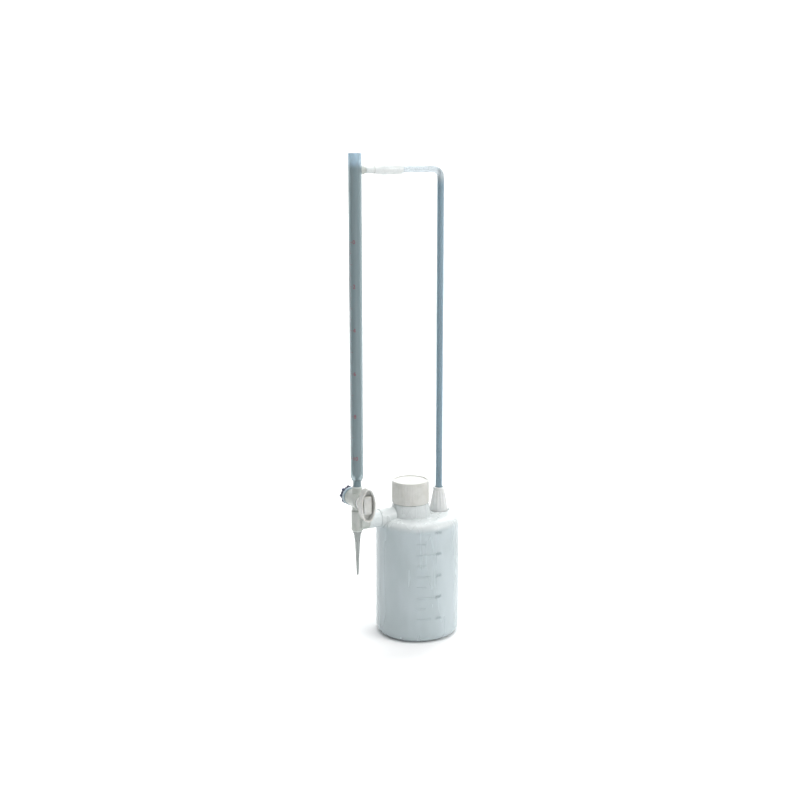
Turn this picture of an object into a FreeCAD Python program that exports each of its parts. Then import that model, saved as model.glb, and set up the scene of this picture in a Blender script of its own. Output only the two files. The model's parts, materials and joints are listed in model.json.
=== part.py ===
"""Automatic burette on its own squeeze bottle, as a parametric document.

+Z is up and the origin is the centre of the bottle's foot, on the table.
The graduated tube stands at -X, the fill tube at +X, and the stopcock's plug lies along Y,
with its handle towards -Y. Lengths are in millimetres.
"""
import FreeCAD, Part
import os

import Sketcher

doc = FreeCAD.newDocument("automatic_burette")

# ---------------------------------------------------------------- driving dimensions

SIZES = {
    # reservoir bottle
    "bottle_radius": 40.0,
    "bottle_wall": 1.2,
    "shoulder_level": 118.5,
    "shoulder_round": 9.5,
    "base_round": 8.0,
    "foot_radius": 29.0,
    "foot_depth": 2.0,
    "neck_x": -7.6,
    "neck_radius": 14.2,
    "neck_bore": 12.2,
    "neck_top": 148.6,
    "collar_radius": 20.5,
    "collar_height": 11.6,
    "neck_turns": 2.5,
    "neck_pitch": 4.0,
    "neck_thread": 0.85,
    "thread_start": 132.8,
    # cap and its sealing disc
    "cap_radius": 17.45,
    "cap_bottom": 130.6,
    "cap_height": 21.5,
    "cap_crown": 2.3,
    "cap_bore": 15.4,
    "cap_dish": 0.7,
    "cap_rim": 2.0,
    "knurl_radius": 0.3,
    "knurl_count": 72.0,
    "knurl_stop": 1.6,
    "liner_radius": 14.3,
    "liner_thickness": 0.9,
    # filling port on the right shoulder
    "port_x": 23.4,
    "port_radius": 5.2,
    "port_top": 124.0,
    "port_bottom": 108.0,
    "port_ledge": 115.5,
    "port_pitch": 2.0,
    "port_thread": 0.6,
    "port_turns": 1.75,
    "well_radius": 10.6,
    "well_depth": 1.6,
    "port_thread_rise": 0.7,
    "gland_bottom": 117.4,
    "gland_top": 141.2,
    "gland_base": 8.8,
    "gland_waist": 5.2,
    "gland_lip": 5.7,
    "gland_bore": 6.15,
    "flute_width": 1.1,
    "flute_count": 14.0,
    # fill tube and dip tube
    "feed_radius": 3.7,
    "feed_bore": 2.6,
    "feed_level": 444.0,
    "feed_bend": 9.0,
    "feed_end": -30.0,
    "dip_end": 7.0,
    "dip_notch": 2.0,
    "fit_gap": 0.03,
    "running_gap": 0.06,
    "thread_sink": 0.12,
    # graduated tube
    "scale_x": -64.0,
    "tube_radius": 6.1,
    "tube_bore": 3.99,
    "tube_bottom": 158.8,
    "heel_radius": 4.9,
    "heel_height": 3.8,
    "tube_top": 459.0,
    "funnel_radius": 5.3,
    "funnel_depth": 11.0,
    "spigot_radius": 3.75,
    "spigot_end_radius": 3.0,
    "spigot_bottom": 145.8,
    "outlet_bore": 1.6,
    "zero_level": 380.5,
    # side nipple, sleeve and inner nozzle at the top of the tube
    "nipple_radius": 2.3,
    "nipple_pad": 4.0,
    "nipple_barb": 3.6,
    "sleeve_start": -46.2,
    "sleeve_length": 29.0,
    "sleeve_radius": 4.8,
    "nozzle_radius": 1.25,
    "nozzle_bore": 0.7,
    "nozzle_offset": 2.1,
    # stopcock
    "body_top": 151.6,
    "body_bottom": 110.2,
    "body_step": 129.5,
    "body_upper": 4.9,
    "body_lower": 5.7,
    "bush_wall": 0.9,
    "plug_level": 139.8,
    "barrel_front": 11.0,
    "barrel_back": 12.0,
    "barrel_front_radius": 8.3,
    "barrel_back_radius": 7.6,
    "plug_front_radius": 5.2,
    "plug_back_radius": 4.7,
    "flange_rise": 1.6,
    "flange_thickness": 2.3,
    "o_ring_section": 0.62,
    "o_ring_from_back": 3.0,
    "stud_radius": 3.0,
    "stud_length": 8.0,
    "stud_pitch": 1.5,
    "stud_thread": 0.45,
    "stud_turns": 2.5,
    "stud_thread_start": 3.2,
    "stem_radius": 2.2,
    "stem_end": 21.4,
    "washer_radius": 8.7,
    "washer_thickness": 2.2,
    "nut_radius": 7.7,
    "nut_length": 6.0,
    "nut_lobe": 1.7,
    "lobe_count": 8.0,
    "handle_back": 17.5,
    "handle_front": 25.0,
    "handle_half_width": 7.5,
    "handle_half_height": 15.9,
    "handle_rim": 1.6,
    "handle_floor": 2.5,
    "rib_width": 7.6,
    "rib_height": 17.0,
    "rib_rise": 3.0,
    # support arm and delivery tip
    "arm_level": 118.5,
    "arm_radius": 8.25,
    "arm_bore": 3.9,
    "arm_stub": 6.35,
    "branch_end": -54.0,
    "socket_radius": 8.9,
    "socket_mouth": -41.6,
    "socket_length": 15.4,
    "stub_in_branch": 3.0,
    "stub_length": 14.0,
    "arm_seal_section": 0.8,
    "arm_seal_depth": 6.0,
    "tip_stub": 3.35,
    "tip_shoulder_drop": 2.4,
    "tip_plug_length": 13.0,
    "tip_seal_thickness": 0.9,
    "tip_waist_level": 97.7,
    "tip_waist_radius": 2.4,
    "tip_end_level": 65.9,
    "tip_end_radius": 1.0,
    "tip_end_bore": 0.5,
}

sheet = doc.addObject("Spreadsheet::Sheet", "dims")
for row, (alias, number) in enumerate(SIZES.items(), start=1):
    sheet.set(f"A{row}", alias)
    sheet.set(f"B{row}", str(number))
    sheet.setAlias(f"B{row}", alias)
doc.recompute()


class Length:
    """A length that carries its value and the sheet expression it comes from."""

    def __init__(self, value, text):
        self.value = value
        self.text = text

    def __add__(self, other):
        other = as_length(other)
        return Length(self.value + other.value, f"({self.text} + {other.text})")

    __radd__ = __add__

    def __sub__(self, other):
        other = as_length(other)
        return Length(self.value - other.value, f"({self.text} - {other.text})")

    def __rsub__(self, other):
        return as_length(other) - self

    def __mul__(self, number):
        return Length(self.value * number, f"({self.text} * {number})")

    __rmul__ = __mul__

    def __truediv__(self, number):
        return Length(self.value / number, f"({self.text} / {number})")

    def __neg__(self):
        return Length(-self.value, f"(-1 * {self.text})")


def as_length(size):
    """The size itself, or a plain number as a length with no cell behind it."""
    return size if isinstance(size, Length) else Length(float(size), str(float(size)))


def cell(alias):
    """The driving dimension of that name."""
    return Length(SIZES[alias], f"dims.{alias}")


# ---------------------------------------------------------------- building blocks

TURN = {
    "X": FreeCAD.Rotation(FreeCAD.Vector(0, 1, 0), 90),
    "Y": FreeCAD.Rotation(FreeCAD.Vector(1, 0, 0), -90),
    "Z": FreeCAD.Rotation(),
}


def bind(thing, prop, size):
    """Drive one property of a document object from the sheet."""
    thing.setExpression(prop, as_length(size).text)


def put(thing, start, rotation):
    """Turn an object and drive its position from the sheet."""
    corner = [as_length(part) for part in start]
    thing.Placement = FreeCAD.Placement(FreeCAD.Vector(*[part.value for part in corner]), rotation)
    for axis, part in zip("xyz", corner):
        bind(thing, f"Placement.Base.{axis}", part)


def rod(name, radius, start, length, along="Z"):
    """A round bar from start, along a positive axis."""
    solid = doc.addObject("Part::Cylinder", name)
    bind(solid, "Radius", radius)
    bind(solid, "Height", length)
    put(solid, start, TURN[along])
    return solid


def taper(name, first_radius, last_radius, start, length, along="Z"):
    """A cone frustum from start, along a positive axis."""
    solid = doc.addObject("Part::Cone", name)
    bind(solid, "Radius1", first_radius)
    bind(solid, "Radius2", last_radius)
    bind(solid, "Height", length)
    put(solid, start, TURN[along])
    return solid


def ring(name, major, minor, centre, along="Z", quarter=None):
    """A torus round an axis, or the quarter of it that starts at an angle."""
    solid = doc.addObject("Part::Torus", name)
    bind(solid, "Radius1", major)
    bind(solid, "Radius2", minor)
    rotation = TURN[along]
    if quarter is not None:
        solid.Angle3 = 90
        rotation = rotation.multiply(FreeCAD.Rotation(FreeCAD.Vector(0, 0, 1), quarter))
    put(solid, centre, rotation)
    return solid


def block(name, size, start):
    """A box from its lowest corner."""
    solid = doc.addObject("Part::Box", name)
    for prop, part in zip(("Length", "Width", "Height"), size):
        bind(solid, prop, part)
    put(solid, start, TURN["Z"])
    return solid


def join(name, *solids):
    """One solid from several, with no merging of faces, which would spoil a helical ridge."""
    union = doc.addObject("Part::MultiFuse", name)
    union.Shapes = list(solids)
    union.Refine = False
    return union


def cut(name, base, *tools):
    """The base with the tools taken away."""
    difference = doc.addObject("Part::Cut", name)
    difference.Base = base
    difference.Tool = tools[0] if len(tools) == 1 else join(f"{name}_tools", *tools)
    return difference


def round_edges(name, base, radius, wanted):
    """A fillet on the edges of the base that the wanted test picks."""
    doc.recompute()
    rounded = doc.addObject("Part::Fillet", name)
    rounded.Base = base
    edges = enumerate(base.Shape.Edges, start=1)
    rounded.Edges = [(index, radius.value, radius.value) for index, edge in edges if wanted(edge)]
    return rounded


def circle_at(level):
    """A test for a round edge that lies at a level above the table."""
    def test(edge):
        is_round = edge.Curve.TypeId == "Part::GeomCircle"
        return is_round and abs(edge.CenterOfMass.z - level.value) < 0.01
    return test


def thread(name, radius, depth, pitch, turns, start, along="Z"):
    """A right-handed ridge of diamond section along a helix of that radius."""
    path = doc.addObject("Part::Helix", f"{name}_path")
    bind(path, "Pitch", pitch)
    bind(path, "Height", pitch * turns)
    bind(path, "Radius", radius)
    put(path, start, TURN[along])
    section = doc.addObject("Part::RegularPolygon", f"{name}_section")
    section.Polygon = 4
    bind(section, "Circumradius", depth)
    flat = TURN["Z"] if along == "Y" else TURN["Y"]
    put(section, (start[0] + radius, start[1], start[2]), flat)
    ridge = doc.addObject("Part::Sweep", name)
    ridge.Sections = [section]
    ridge.Spine = (path, ["Edge1"])
    ridge.Solid = True
    ridge.Frenet = True
    return ridge


# ---------------------------------------------------------------- sketched bodies

def new_body(name, start=(0, 0, 0), along="Z"):
    """An empty body whose own Z axis lies along the named axis."""
    body = doc.addObject("PartDesign::Body", name)
    put(body, start, TURN[along])
    return body


def new_sketch(body, role, name):
    """An empty sketch on one of the body's origin planes."""
    sketch = body.newObject("Sketcher::SketchObject", name)
    plane = next(item for item in body.Origin.OriginFeatures if item.Role == role)
    sketch.AttachmentSupport = [(plane, "")]
    sketch.MapMode = "FlatFace"
    return sketch


def drive(sketch, kind, targets, size):
    """A sketch dimension bound to the sheet."""
    size = as_length(size)
    index = sketch.addConstraint(Sketcher.Constraint(kind, *targets, size.value))
    sketch.setExpression(f"Constraints[{index}]", size.text)


def outline(sketch, corners):
    """A closed outline of straight sides, with both coordinates of each corner dimensioned."""
    corners = [(as_length(across), as_length(up)) for across, up in corners]
    spots = [FreeCAD.Vector(across.value, up.value, 0) for across, up in corners]
    count = len(spots)
    for side in range(count):
        sketch.addGeometry(Part.LineSegment(spots[side], spots[(side + 1) % count]), False)
    for side in range(count):
        sketch.addConstraint(Sketcher.Constraint("Coincident", side, 2, (side + 1) % count, 1))
    for side, (across, up) in enumerate(corners):
        drive(sketch, "DistanceX", (-1, 1, side, 1), across)
        drive(sketch, "DistanceY", (-1, 1, side, 1), up)


def disc(sketch, radius, across=0.0, up=0.0):
    """A circle with its centre and radius dimensioned."""
    across = as_length(across)
    centre = FreeCAD.Vector(across.value, up, 0)
    index = sketch.addGeometry(Part.Circle(centre, FreeCAD.Vector(0, 0, 1), radius.value), False)
    drive(sketch, "DistanceX", (-1, 1, index, 3), across)
    drive(sketch, "DistanceY", (-1, 1, index, 3), up)
    drive(sketch, "Radius", (index,), radius)


def pad(body, name, sketch, length, centred=False):
    """Material on one side of a sketch, or equally on both."""
    feature = body.newObject("PartDesign::Pad", name)
    feature.Profile = sketch
    bind(feature, "Length", length)
    if centred:
        feature.Midplane = True
    return feature


def pocket(body, name, sketch, depth, reverse=True):
    """Material taken from the sketch upwards, checked to have taken some."""
    doc.recompute()
    before = body.Shape.Volume
    feature = body.newObject("PartDesign::Pocket", name)
    feature.Profile = sketch
    feature.Reversed = reverse
    bind(feature, "Length", depth)
    doc.recompute()
    if body.Shape.Volume > before - 0.01:
        raise ValueError(f"{name} cuts nothing")
    return feature


def revolve(body, name, sketch):
    """A full turn of a sketch about its vertical axis."""
    feature = body.newObject("PartDesign::Revolution", name)
    feature.Profile = sketch
    feature.ReferenceAxis = (sketch, ["V_Axis"])
    feature.Angle = 360
    return feature


def repeat_round(body, name, feature, axis, count):
    """Equal copies of a feature round an axis, made the body's tip."""
    pattern = body.newObject("PartDesign::PolarPattern", name)
    pattern.Originals = [feature]
    pattern.Axis = axis
    pattern.Angle = 360
    bind(pattern, "Occurrences", count)
    body.Tip = pattern
    return pattern


# ---------------------------------------------------------------- reservoir bottle

def make_bottle():
    """Blown bottle: off-centre threaded neck, filling port, and a socket for the arm."""
    radius, wall, level = cell("bottle_radius"), cell("bottle_wall"), cell("shoulder_level")
    neck_x, port_x = cell("neck_x"), cell("port_x")
    outside = rod("bottle_outside", radius, (0, 0, 0), level)
    outside = round_edges("bottle_base_round", outside, cell("base_round"), circle_at(as_length(0)))
    outside = round_edges("bottle_shoulder", outside, cell("shoulder_round"), circle_at(level))

    ceiling = level - wall
    inside = rod("bottle_inside", radius - wall, (0, 0, wall), ceiling - wall)
    inside = round_edges("bottle_inner_base", inside, cell("base_round") - wall, circle_at(wall))
    inside = round_edges("bottle_inner_top", inside, cell("shoulder_round") - wall, circle_at(ceiling))
    foot, depth = cell("foot_radius"), cell("foot_depth")
    floor = taper("bottle_floor", foot + 4, foot - 2, (0, 0, 0), depth + wall)
    boss_length = cell("port_top") - cell("port_bottom")
    boss = rod("port_boss", cell("port_radius"), (port_x, 0, cell("port_bottom")), boss_length)
    well_wall = rod("well_wall", cell("well_radius") + wall,
                    (port_x, 0, ceiling - cell("well_depth")), cell("well_depth") + wall / 2)
    socket = rod("arm_socket", cell("socket_radius"), (cell("socket_mouth"), 0, cell("arm_level")),
                 cell("socket_length"), "X")
    cavity = cut("bottle_cavity", inside, floor)
    shell = cut("bottle_shell", outside, cavity, taper("bottle_foot", foot, foot - 5, (0, 0, 0), depth))

    collar = taper("neck_collar", cell("collar_radius"), cell("cap_radius") - 0.4,
                   (neck_x, 0, level - wall / 2), cell("collar_height") + wall / 2)
    neck = rod("neck_wall", cell("neck_radius"), (neck_x, 0, level), cell("neck_top") - level)
    ridge = thread("neck_ridge", cell("neck_radius") - cell("thread_sink"), cell("neck_thread"),
                   cell("neck_pitch"), SIZES["neck_turns"], (neck_x, 0, cell("thread_start")))
    mouth = rod("neck_mouth", cell("neck_bore"), (neck_x, 0, ceiling - 1), cell("neck_top") - ceiling + 2)

    well_floor = level - cell("well_depth")
    well = cut("port_well", rod("well_space", cell("well_radius"), (port_x, 0, well_floor), 6),
               rod("well_core", cell("port_radius"), (port_x, 0, well_floor - 1), 8))
    clear_port = cell("feed_radius") + cell("fit_gap")
    ledge = cell("port_ledge")
    upper = rod("port_upper_bore", clear_port, (port_x, 0, ledge + 1), cell("port_top") - ledge)
    lower = rod("port_lower_bore", clear_port, (port_x, 0, cell("port_bottom") - 1),
                ledge - cell("port_bottom") + 1)
    through = rod("port_through_bore", cell("feed_bore"), (port_x, 0, ledge - 1), 3)
    port_ridge = thread("port_ridge", cell("port_radius") - cell("thread_sink"), cell("port_thread"),
                        cell("port_pitch"), SIZES["port_turns"],
                        (port_x, 0, level + cell("port_thread_rise")))
    stub_bore = rod("arm_socket_bore", cell("arm_stub") + cell("fit_gap"),
                    (cell("socket_mouth") - 1, 0, cell("arm_level")), 13, "X")

    walls = join("bottle_walls", shell, boss, well_wall, socket, collar, neck, ridge)
    bored = cut("bottle_bored", walls, mouth, well, upper, lower, through, stub_bore)
    return join("reservoir_bottle", bored, port_ridge)


# ---------------------------------------------------------------- cap

def make_cap():
    """Knurled screw cap with a dished crown and a thread inside."""
    start = (cell("neck_x"), 0, cell("cap_bottom"))
    body = new_body("cap_shell", start)
    wall = new_sketch(body, "XY_Plane", "cap_round")
    disc(wall, cell("cap_radius"))
    pad(body, "cap_blank", wall, cell("cap_height"))
    knurl = new_sketch(body, "XY_Plane", "cap_knurl")
    disc(knurl, cell("knurl_radius"), cell("cap_radius"))
    rib = pad(body, "cap_rib", knurl, cell("cap_height") - cell("knurl_stop"))
    repeat_round(body, "cap_ribs", rib, (knurl, ["N_Axis"]), cell("knurl_count"))
    bore = new_sketch(body, "XY_Plane", "cap_hollow")
    disc(bore, cell("cap_bore"))
    pocket(body, "cap_bored", bore, cell("cap_height") - cell("cap_crown"))
    dish = rod("cap_dish_space", cell("cap_radius") - cell("cap_rim"),
               (cell("neck_x"), 0, cell("cap_bottom") + cell("cap_height") - cell("cap_dish")), 2)
    dished = cut("cap_dished", body, dish)
    ridge = thread("cap_ridge", cell("cap_bore") + cell("thread_sink"), cell("neck_thread"),
                   cell("neck_pitch"), SIZES["neck_turns"],
                   (cell("neck_x"), 0, cell("thread_start") + cell("neck_pitch") / 2))
    cap = join("bottle_cap", dished, ridge)
    liner_level = cell("neck_top") + 0.1
    liner = rod("cap_liner", cell("liner_radius"), (cell("neck_x"), 0, liner_level),
                cell("liner_thickness"))
    return cap, liner


# ---------------------------------------------------------------- gland of the filling port

def make_gland():
    """Fluted bell-shaped nut that squeezes a conical ring round the fill tube."""
    bottom, top = cell("gland_bottom"), cell("gland_top")
    base, waist, lip = cell("gland_base"), cell("gland_waist"), cell("gland_lip")
    clear_tube = cell("feed_radius") + 0.15
    seat = cell("port_top") + 0.4
    body = new_body("gland_bell", (cell("port_x"), 0, 0))
    profile = new_sketch(body, "XZ_Plane", "gland_outline")
    outline(profile, [
        (cell("gland_bore"), bottom), (base, bottom), (base, bottom + 2), (base - 1.5, bottom + 9.6),
        (waist, top - 3.1), (lip, top - 1.6), (lip, top), (clear_tube, top),
        (clear_tube, seat + 5.2), (cell("port_radius") + 0.4, seat + 3.7),
        (cell("port_radius") + 0.4, seat), (cell("gland_bore"), seat),
    ])
    revolve(body, "gland_turned", profile)
    fin = new_sketch(body, "XZ_Plane", "gland_fin")
    outline(fin, [
        (base - 0.7, bottom + 1.8), (base + 0.05, bottom + 1.8), (base - 1.1, bottom + 9.6),
        (waist + 0.35, top - 3.3), (waist - 0.5, top - 3.3), (base - 2.2, bottom + 9.6),
    ])
    flute = pad(body, "gland_flute", fin, cell("flute_width"), centred=True)
    repeat_round(body, "gland_flutes", flute, (fin, ["V_Axis"]), cell("flute_count"))
    first_turn = cell("shoulder_level") + cell("port_thread_rise") + cell("port_pitch") / 2
    ridge = thread("gland_ridge", cell("gland_bore") + cell("thread_sink"), cell("port_thread"),
                   cell("port_pitch"), SIZES["port_turns"], (cell("port_x"), 0, first_turn))
    nut = join("port_nut", body, ridge)
    rest = cell("port_top") + 0.15
    cone = taper("ferrule_cone", cell("port_radius"), cell("port_radius") - 0.9,
                 (cell("port_x"), 0, rest), 3.6)
    hole = rod("ferrule_hole", cell("feed_radius") + cell("running_gap"),
               (cell("port_x"), 0, rest - 1), 6)
    return nut, cut("port_ferrule", cone, hole)


# ---------------------------------------------------------------- fill tube and dip tube

def tube_run(name, radius):
    """The solid route of the fill tube: up from the port, round one bend, and towards the scale."""
    port_x, level, bend = cell("port_x"), cell("feed_level"), cell("feed_bend")
    foot = cell("port_ledge") + 1
    riser = rod(f"{name}_riser", radius, (port_x, 0, foot), level - bend - foot)
    elbow = ring(f"{name}_elbow", bend, radius, (port_x - bend, 0, level - bend), "Y", -90)
    reach = rod(f"{name}_reach", radius, (cell("feed_end"), 0, level),
                port_x - bend - cell("feed_end"), "X")
    return join(name, riser, elbow, reach)


def make_feed():
    """Rigid bent fill tube and the straight dip tube below it."""
    fill = cut("fill_tube", tube_run("fill_outside", cell("feed_radius")),
               tube_run("fill_inside", cell("feed_bore")))
    port_x, end = cell("port_x"), cell("dip_end")
    length = cell("port_ledge") - end
    outside = rod("dip_outside", cell("feed_radius"), (port_x, 0, end), length)
    inside = rod("dip_inside", cell("feed_bore"), (port_x, 0, end - 1), length + 2)
    wide = cell("feed_radius") * 2 + 2
    notch = block("dip_notch_space", (cell("feed_bore"), wide, cell("dip_notch") + 1),
                  (port_x - cell("feed_bore") / 2, wide / -2, end - 1))
    return fill, cut("dip_tube", outside, inside, notch)


# ---------------------------------------------------------------- graduated tube and its inlet

def make_scale_tube():
    """Thick-walled measuring tube, open at a flared mouth, with a narrow spigot below."""
    x, bottom, top = cell("scale_x"), cell("tube_bottom"), cell("tube_top")
    bore, outlet = cell("tube_bore"), cell("outlet_bore")
    spigot_low = cell("spigot_bottom")
    step = cell("body_top") + 1.2
    heel = cell("heel_height")
    wall = join("tube_wall",
                rod("tube_outside", cell("tube_radius"), (x, 0, bottom + heel), top - bottom - heel),
                taper("tube_heel", cell("heel_radius"), cell("tube_radius"), (x, 0, bottom), heel),
                rod("spigot_neck", cell("spigot_radius"), (x, 0, step), bottom - step),
                rod("spigot_end", cell("spigot_end_radius"), (x, 0, spigot_low), bottom - spigot_low))
    cone_low = bottom + 2
    cone_high = bottom + 7
    mouth = top - cell("funnel_depth")
    hollow = join("tube_hollow", rod("tube_bore_space", bore, (x, 0, cone_high), top - cone_high),
                  taper("tube_sump", outlet, bore, (x, 0, cone_low), cone_high - cone_low),
                  rod("spigot_bore", outlet, (x, 0, spigot_low - 1), cone_low - spigot_low + 1),
                  taper("tube_flare", bore, cell("funnel_radius"), (x, 0, mouth), cell("funnel_depth")))
    side_hole = rod("tube_side_hole", cell("nipple_radius") + cell("fit_gap"),
                    (x + 1, 0, cell("feed_level")), cell("tube_radius") + 1, "X")
    return cut("burette_tube", wall, hollow, side_hole)


def make_inlet():
    """Side nipple through the tube's wall, the sleeve on it, and the nozzle that sets zero."""
    x, level = cell("scale_x"), cell("feed_level")
    start = x + cell("tube_bore") + 0.3
    sleeve_start = cell("sleeve_start")
    stem = rod("nipple_stem", cell("nipple_radius"), (start, 0, level), sleeve_start - start + 1, "X")
    saddle = cut("nipple_saddle",
                 rod("nipple_pad_blank", cell("nipple_pad"), (x + 3, 0, level), 5.5, "X"),
                 rod("nipple_pad_seat", cell("tube_radius") + cell("fit_gap"), (x, 0, level - 8), 16))
    barb = taper("nipple_barb_cone", cell("nipple_barb"), cell("nipple_radius") + 0.6,
                 (sleeve_start + 0.3, 0, level), 10, "X")
    bore = rod("nipple_bore", cell("nozzle_radius") + cell("fit_gap"), (x, 0, level), 30, "X")
    nipple = cut("side_nipple", join("nipple_blank", stem, saddle, barb), bore)

    length = cell("sleeve_length")
    sleeve_bore = cell("feed_radius") + cell("fit_gap")
    sleeve = cut("joint_sleeve",
                 rod("sleeve_outside", cell("sleeve_radius"), (sleeve_start, 0, level), length, "X"),
                 rod("sleeve_inside", sleeve_bore, (sleeve_start - 1, 0, level), length + 2, "X"))

    nozzle_x, zero = x + cell("nozzle_offset"), cell("zero_level")
    drop = level - zero
    arm = x + cell("tube_radius") + 2 - nozzle_x
    outside = join("nozzle_outside", rod("nozzle_drop", cell("nozzle_radius"), (nozzle_x, 0, zero), drop),
                   rod("nozzle_arm", cell("nozzle_radius"), (nozzle_x, 0, level), arm, "X"),
                   rod("nozzle_heel", cell("nozzle_radius"), (nozzle_x, 0, level), 1.1))
    inside = join("nozzle_inside",
                  rod("nozzle_drop_bore", cell("nozzle_bore"), (nozzle_x, 0, zero - 1), drop + 1),
                  rod("nozzle_arm_bore", cell("nozzle_bore"), (nozzle_x, 0, level), arm + 1, "X"))
    nozzle = cut("zero_nozzle", outside, inside)
    return nipple, sleeve, nozzle


# ---------------------------------------------------------------- stopcock

def make_stopcock_body():
    """Vertical barrel, tapered cross barrel for the plug, and the branch that takes the arm."""
    x, level, arm_level = cell("scale_x"), cell("plug_level"), cell("arm_level")
    bottom, step, top = cell("body_bottom"), cell("body_step"), cell("body_top")
    front, gap, fit = cell("barrel_front"), cell("running_gap"), cell("fit_gap")
    length = front + cell("barrel_back")
    branch_start, branch_end = x + 1.5, cell("branch_end")
    bush_low = cell("spigot_bottom") - 0.1
    bush_room = cell("spigot_end_radius") + cell("bush_wall") + 0.05
    solid = join(
        "stopcock_blank",
        rod("body_lower_barrel", cell("body_lower"), (x, 0, bottom), step - bottom),
        rod("body_upper_barrel", cell("body_upper"), (x, 0, step), top - step),
        taper("plug_barrel", cell("barrel_front_radius"), cell("barrel_back_radius"),
              (x, -front, level), length, "Y"),
        rod("arm_branch", cell("arm_radius"), (branch_start, 0, arm_level), branch_end - branch_start, "X"),
    )
    return cut(
        "stopcock_body", solid,
        taper("plug_seat", cell("plug_front_radius") + gap, cell("plug_back_radius") + gap,
              (x, -front, level), length, "Y"),
        rod("bush_socket", bush_room, (x, 0, bush_low), top - bush_low + 1),
        rod("flow_bore", cell("outlet_bore"), (x, 0, bottom + 5), top - bottom - 5),
        rod("tip_socket", cell("tip_stub") + fit, (x, 0, bottom - 1), 12),
        rod("arm_stub_socket", cell("arm_stub") + fit,
            (branch_end - cell("stub_in_branch") - 0.2, 0, arm_level), 5, "X"),
    )


def make_bush():
    """Soft flanged bush between the tube's spigot and the stopcock."""
    x, top, low = cell("scale_x"), cell("body_top"), cell("spigot_bottom") + 0.3
    inner = cell("spigot_end_radius")
    solid = join("bush_blank",
                 rod("bush_sleeve", inner + cell("bush_wall"), (x, 0, low), top - low + 0.5),
                 rod("bush_flange", cell("body_upper") - 0.3, (x, 0, top + 0.05), 1.1))
    return cut("spigot_bush", solid, rod("bush_bore", inner + cell("fit_gap"), (x, 0, low - 1), 12))


def make_plug():
    """Tapered plug with a cross bore, a front flange and stem, and a threaded stud behind."""
    x, level = cell("scale_x"), cell("plug_level")
    front, back = cell("barrel_front"), cell("barrel_back")
    front_radius, back_radius = cell("plug_front_radius"), cell("plug_back_radius")
    stud, flange = cell("stud_radius"), cell("flange_thickness")
    section = cell("o_ring_section")
    ring_at, ring_radius = back - cell("o_ring_from_back"), back_radius - 0.7
    solid = join(
        "plug_blank",
        taper("plug_cone", front_radius, back_radius, (x, -front, level), front + back, "Y"),
        rod("plug_flange", front_radius + cell("flange_rise"), (x, -(front + flange + 0.3), level),
            flange, "Y"),
        rod("plug_flange_neck", front_radius - 0.2, (x, -(front + 1), level), 2, "Y"),
        rod("plug_stem", cell("stem_radius"), (x, -cell("stem_end"), level), cell("stem_end") - front, "Y"),
        rod("plug_stud", stud, (x, back - 1, level), cell("stud_length") + 1, "Y"),
        thread("plug_stud_ridge", stud - cell("thread_sink"), cell("stud_thread"), cell("stud_pitch"),
               SIZES["stud_turns"], (x, back + cell("stud_thread_start"), level), "Y"),
    )
    bored = cut("stopcock_plug", solid,
                rod("plug_cross_bore", cell("outlet_bore"), (x, 0, level - 8), 16),
                ring("ring_groove", ring_radius, section + 0.05, (x, ring_at, level), "Y"))
    return bored, ring("plug_o_ring", ring_radius, section, (x, ring_at, level), "Y")


def make_tension_nut():
    """Plain washer and lobed nut that draw the plug into its seat."""
    x, level = cell("scale_x"), cell("plug_level")
    face = cell("barrel_back") + 0.3
    thick = cell("washer_thickness")
    hole = cell("stud_radius") + cell("stud_thread") + 0.35
    washer = cut("plug_washer",
                 rod("washer_disc", cell("washer_radius"), (x, face, level), thick, "Y"),
                 rod("washer_hole", hole, (x, face - 1, level), thick + 2, "Y"))
    nut_face = face + thick + 0.3
    bore = cell("stud_radius") + 0.75
    body = new_body("nut_shell", (x, nut_face, level), "Y")
    core = new_sketch(body, "XY_Plane", "nut_round")
    disc(core, cell("nut_radius"))
    pad(body, "nut_blank", core, cell("nut_length"))
    lobe = new_sketch(body, "XY_Plane", "nut_lobe_round")
    disc(lobe, cell("nut_lobe"), cell("nut_radius") - 0.3)
    grip = pad(body, "nut_grip", lobe, cell("nut_length") - 0.6)
    repeat_round(body, "nut_grips", grip, (lobe, ["N_Axis"]), cell("lobe_count"))
    hollow = new_sketch(body, "XY_Plane", "nut_hollow")
    disc(hollow, bore)
    pocket(body, "nut_bored", hollow, cell("nut_length") + 2)
    first_turn = cell("barrel_back") + cell("stud_thread_start") + cell("stud_pitch") / 2
    ridge = thread("nut_ridge", bore + cell("thread_sink"), cell("stud_thread"), cell("stud_pitch"),
                   SIZES["stud_turns"], (x, first_turn, level), "Y")
    return washer, join("tension_nut", body, ridge)


def oval(name, half_height, half_width, start, length):
    """An upright elliptical prism that runs from start towards +Y."""
    edge = doc.addObject("Part::Ellipse", f"{name}_edge")
    bind(edge, "MajorRadius", half_height)
    bind(edge, "MinorRadius", half_width)
    upright = FreeCAD.Rotation(FreeCAD.Vector(0, 0, 1), FreeCAD.Vector(1, 0, 0),
                               FreeCAD.Vector(0, 1, 0), "XZY")
    put(edge, start, upright)
    prism = doc.addObject("Part::Extrusion", name)
    prism.Base = edge
    prism.DirMode = "Custom"
    prism.Dir = FreeCAD.Vector(0, 1, 0)
    prism.Solid = True
    bind(prism, "LengthFwd", length)
    return prism


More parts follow.
